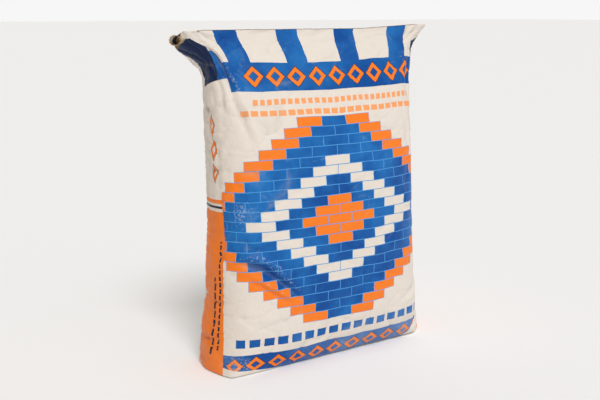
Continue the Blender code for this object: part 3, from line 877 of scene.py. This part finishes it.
def patch_cloth(name, grid, points_of_patch, faces_of_patch):
    """A patch of cloth with its thickness, and the distance of each place from its cut edge."""
    made = new_object(name, points_of_patch, faces_of_patch)
    rows, columns = grid.shape[:2]
    q, p = np.divmod(np.arange(rows * columns), columns)
    row_step = np.linalg.norm(grid[-1, columns // 2] - grid[0, columns // 2]) / (rows - 1)
    column_step = np.linalg.norm(grid[0, -1] - grid[0, 0]) / (columns - 1)
    edge_distance = np.minimum(
        np.minimum(q, rows - 1 - q) * row_step, np.minimum(p, columns - 1 - p) * column_step
    )
    layer = made.data.attributes.new("edge_distance", "FLOAT", "POINT")
    layer.data.foreach_set("value", edge_distance.astype(np.float32))
    loop_point = np.empty(len(made.data.loops), np.int32)
    made.data.loops.foreach_get("vertex_index", loop_point)
    own_uv = np.stack([p * column_step, q * row_step], -1)[loop_point]
    made.data.uv_layers.new(name="fabric").data.foreach_set("uv", own_uv.astype(np.float32).ravel())
    thickness =made.modifiers.new("Thickness", "SOLIDIFY")
    thickness.thickness = PATCH_SHEET
    thickness.offset = 1.0
    solid = bpy.data.meshes.new_from_object(made.evaluated_get(bpy.context.evaluated_depsgraph_get()))
    made.modifiers.remove(thickness)
    sheet = made.data
    made.data = solid
    bpy.data.meshes.remove(sheet)
    solid.name = name
    solid.materials.append(patch_film)
    return made


# Unprinted laminated cloth: the film over bare tapes, coloured in a shaded white that is painted shade, softly glossy,
# with a brown line of melt along the cut edges and grey dust in the middle, where it lies level
patch_film = bpy.data.materials.new("unprinted_laminated_polypropylene")
patch_film.use_nodes = True
patch_tree = patch_film.node_tree
patch_shader = patch_tree.nodes["Principled BSDF"]
patch_where = add_node(patch_tree, "ShaderNodeTexCoord").outputs["Object"]
edge_near = add_node(patch_tree, "ShaderNodeAttribute", attribute_name="edge_distance").outputs["Fac"]
melt = add_node(patch_tree, "ShaderNodeMapRange", edge_near, 0.0004, 0.0030, 0.65, 0.0)
smears = add_node(
    patch_tree, "ShaderNodeTexNoise", named={"Vector": patch_where, "Scale": 24.0, "Detail": 6.0, "Roughness": 0.65}
)
smeared = add_node(patch_tree, "ShaderNodeMapRange", smears, 0.42, 0.75, 0.0, 0.65)
# The base colour is the shaded white: painted shade
patch_colour = add_node(
    patch_tree, "ShaderNodeMix", named={0: smeared, 6: SHADED_WHITE, 7: DUST_AND_SHADE_GREY}, data_type="RGBA"
).outputs[2]
patch_colour = add_node(
    patch_tree, "ShaderNodeMix", named={0: melt, 6: patch_colour, 7: linear("#8C6E48")}, data_type="RGBA"
).outputs[2]
patch_tree.links.new(patch_shader.inputs["Base Color"], patch_colour)
patch_shader.inputs["Roughness"].default_value = 0.50
patch_shader.inputs["IOR"].default_value = 1.49
patch_uv = add_node(patch_tree, "ShaderNodeUVMap", uv_map="fabric")
patch_place = add_node(patch_tree, "ShaderNodeSeparateXYZ", patch_uv)
patch_weave = woven_tapes(patch_tree, patch_place.outputs[0], patch_place.outputs[1])
patch_bump = add_node(
    patch_tree, "ShaderNodeBump", named={"Strength": 0.30, "Distance": 0.0004, "Height": patch_weave}
)
patch_tree.links.new(patch_shader.inputs["Normal"], patch_bump.outputs[0])

top_patch = patch_cloth("top_cover_cloth", patch_grid, patch_points, patch_faces)
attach(top_patch, "root")
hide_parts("top_patch")

# The ends of the cut tapes that have frayed out of the top patch along its two short edges and its back edge
FRAY_PITCH = 0.0034
FRAY_LENGTH = 0.0022
FRAY_WIDTH = 0.0021
FRAY_SHEET = 0.00015
FRAY_SEED = 5
left_edge = [(q, 0) for q in range(4, PATCH_STEPS[1] + 1)]
rear_edge = [(PATCH_STEPS[1], p) for p in range(1, PATCH_STEPS[0] + 1)]
right_edge = [(q, PATCH_STEPS[0]) for q in range(PATCH_STEPS[1] - 1, 3, -1)]
round_edge = left_edge + rear_edge + right_edge
inner_neighbour = (
    [(q, 1) for q, _ in left_edge]
    + [(PATCH_STEPS[1] - 1, p) for _, p in rear_edge]
    + [(q, PATCH_STEPS[0] - 1) for q, _ in right_edge]
)
edge_places = np.array([patch_grid[at] for at in round_edge])
edge_up = np.array([lift_grid[at] for at in round_edge])
edge_out = edge_places - np.array([patch_grid[at] for at in inner_neighbour])
edge_out /= np.linalg.norm(edge_out, axis=1)[:, None]
guide_mesh = bpy.data.meshes.new("cut_edge")
guide_mesh.from_pydata(
    [tuple(place + up * PATCH_SHEET / 2) for place, up in zip(edge_places, edge_up)],
    [(i, i + 1) for i in range(len(round_edge) - 1)],
    [],
)
for name, vectors in (("outward", edge_out), ("up", edge_up)):
    layer = guide_mesh.attributes.new(name, "FLOAT_VECTOR", "POINT")
    layer.data.foreach_set("vector", vectors.astype(np.float32).ravel())
fray = bpy.data.objects.new("frayed_tape_ends", guide_mesh)
bpy.context.scene.collection.objects.link(fray)

tapes = bpy.data.node_groups.new("cut_tape_ends", "GeometryNodeTree")
sockets = {}
for name, kind in (
    ("Guide", "Geometry"),
    ("Pitch", "Float"),
    ("Length", "Float"),
    ("Width", "Float"),
    ("Sheet", "Float"),
    ("Seed", "Int"),
    ("Material", "Material"),
):
    sockets[name] = tapes.interface.new_socket(name=name, in_out="INPUT", socket_type="NodeSocket" + kind)
tapes.interface.new_socket(name="Tapes", in_out="OUTPUT", socket_type="NodeSocketGeometry")
given = add_node(tapes, "NodeGroupInput").outputs
path = add_node(tapes, "GeometryNodeMeshToCurve", given["Guide"])
path = add_node(tapes, "GeometryNodeResampleCurve", path, named={"Length": given["Pitch"]}, mode="LENGTH")
outward_at = add_node(tapes, "GeometryNodeInputNamedAttribute", "outward", data_type="FLOAT_VECTOR")
up_at = add_node(tapes, "GeometryNodeInputNamedAttribute", "up", data_type="FLOAT_VECTOR")
stray_at = add_node(
    tapes,
    "FunctionNodeRandomValue",
    (-0.35, -0.35, -0.10),
    (0.35, 0.35, 0.35),
    named={"Seed": given["Seed"]},
    data_type="FLOAT_VECTOR",
)
heading = add_node(tapes, "ShaderNodeVectorMath", outward_at, stray_at, operation="ADD")
turned = add_node(
    tapes, "FunctionNodeAxesToRotation", heading, up_at, primary_axis="X", secondary_axis="Z"
)
length_share = add_node(
    tapes,
    "FunctionNodeRandomValue",
    named={2: 0.10, 3: 1.5, "Seed": given["Seed"]},
    data_type="FLOAT",
)
tape_length = add_node(tapes, MATH, given["Length"], length_share.outputs[1], operation="MULTIPLY")
tape_size = add_node(tapes, "ShaderNodeCombineXYZ", tape_length, given["Width"], given["Sheet"])
blade = add_node(tapes, "GeometryNodeMeshCube", (1.0, 1.0, 1.0))
blade = add_node(tapes, "GeometryNodeTransform", blade, named={"Translation": (0.4, 0.0, 0.0)})
placed = add_node(
    tapes,
    "GeometryNodeInstanceOnPoints",
    path,
    named={"Instance": blade, "Rotation": turned, "Scale": tape_size},
)
placed = add_node(tapes, "GeometryNodeRealizeInstances", placed)
placed = add_node(tapes, "GeometryNodeSetMaterial", placed, named={"Material": given["Material"]})
add_node(tapes, "NodeGroupOutput", placed)
fraying = fray.modifiers.new("Fraying", "NODES")
fraying.node_group = tapes
for name, value in (
    ("Pitch", FRAY_PITCH),
    ("Length", FRAY_LENGTH),
    ("Width", FRAY_WIDTH),
    ("Sheet", FRAY_SHEET),
    ("Seed", FRAY_SEED),
    ("Material", raw),
):
    fraying[sockets[name].identifier] = value
frayed_mesh = bpy.data.meshes.new_from_object(fray.evaluated_get(bpy.context.evaluated_depsgraph_get()))
fray.modifiers.remove(fraying)
fray.data = frayed_mesh
bpy.data.meshes.remove(guide_mesh)
frayed_mesh.name = "frayed_tape_ends"
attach(fray, "root")

# The bottom cover patch: the same strip welded over the folded base, which the sack stands on
BOTTOM_PATCH = (0.390, 0.100)
BOTTOM_PATCH_Z = 0.0003
BOTTOM_STEPS = (60, 16)
bottom_grid = np.array(
    [
        [(BOTTOM_PATCH[0] * (p / BOTTOM_STEPS[0] - 0.5), BOTTOM_PATCH[1] * (q / BOTTOM_STEPS[1] - 0.5), BOTTOM_PATCH_Z)
         for p in range(BOTTOM_STEPS[0] + 1)]
        for q in range(BOTTOM_STEPS[1] + 1)
    ]
)
wide = BOTTOM_STEPS[0] + 1
bottom_faces = [
    (q * wide + p, q * wide + p + 1, (q + 1) * wide + p + 1, (q + 1) * wide + p)
    for q in range(BOTTOM_STEPS[1])
    for p in range(BOTTOM_STEPS[0])
]
bottom_patch = patch_cloth("bottom_cover_cloth", bottom_grid, bottom_grid.reshape(-1, 3), bottom_faces)
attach(bottom_patch, "root")
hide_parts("bottom_patch")

# The floor, plain and pale, and soft studio light: a white surround that is dimmer and warmer on the left, and
# one wide lamp far in front of the printed face and above it
floor_mesh = bpy.data.meshes.new("floor")
floor_mesh.from_pydata([(-60, -60, 0), (60, -60, 0), (60, 60, 0), (-60, 60, 0)], [], [(0, 1, 2, 3)])
floor = bpy.data.objects.new("floor", floor_mesh)
bpy.context.scene.collection.objects.link(floor)
pale = bpy.data.materials.new("pale_floor")
pale.use_nodes = True
pale.node_tree.nodes["Principled BSDF"].inputs["Base Color"].default_value = (0.96, 0.96, 0.96, 1)
pale.node_tree.nodes["Principled BSDF"].inputs["Roughness"].default_value = 0.9
pale.node_tree.nodes["Principled BSDF"].inputs["Specular IOR Level"].default_value = 0.1
floor_mesh.materials.append(pale)

world = bpy.data.worlds.new("studio")
bpy.context.scene.world = world
world.use_nodes = True
surround = world.node_tree
direction = add_node(surround, "ShaderNodeTexCoord").outputs["Generated"]
direction = add_node(surround, "ShaderNodeSeparateXYZ", direction)
from_side = add_node(surround, "ShaderNodeMapRange", direction.outputs[0], -0.9, 0.2, 0.06, 0.60)
from_above = add_node(surround, "ShaderNodeMapRange", direction.outputs[2], 0.0, 0.6, 0.33, 0.0)
dim_right = add_node(surround, "ShaderNodeMapRange", direction.outputs[0], 0.35, 0.95, 0.0, -0.40)
off_horizon = add_node(surround, "ShaderNodeMapRange", direction.outputs[2], 0.08, 0.30, 0.0, 1.0)
dim_right = add_node(surround, "ShaderNodeMath", dim_right, off_horizon, operation="MULTIPLY")
brightness = add_node(surround, "ShaderNodeMath", from_side, from_above, operation="ADD")
brightness = add_node(surround, "ShaderNodeMath", brightness, dim_right, operation="ADD")
surround.links.new(surround.nodes["Background"].inputs["Strength"], brightness.outputs[0])
warmth = add_node(surround, "ShaderNodeMapRange", direction.outputs[0], -0.8, 0.0, 1.0, 0.0)
tint = add_node(
    surround, "ShaderNodeMix", named={0: warmth, 6: (1, 1, 1, 1), 7: (1.0, 0.80, 0.52, 1)}, data_type="RGBA"
)
surround.links.new(surround.nodes["Background"].inputs["Color"], tint.outputs[2])

key_light = bpy.data.lights.new("key", "SUN")
key_light.energy = 1.9
key_light.angle = math.radians(24)
key_object = bpy.data.objects.new("key", key_light)
key_object.rotation_euler = Vector((0.17, 0.60, -0.78)).to_track_quat("-Z", "Y").to_euler()
bpy.context.scene.collection.objects.link(key_object)

# The camera, where the photo was taken from: the picture is 900 times as wide as the view at one metre
camera_data = bpy.data.cameras.new("camera")
camera_data.sensor_width = 36.0
camera_data.lens = 900 / 600 * 36.0
camera = bpy.data.objects.new("camera", camera_data)
camera.location = (-0.8633, -1.3417, 0.6085)
camera.rotation_euler = (math.radians(90 - 11.78), 0, -math.radians(31.90))
bpy.context.scene.collection.objects.link(camera)
bpy.context.scene.camera = camera
bpy.context.scene.view_settings.view_transform = "Standard"
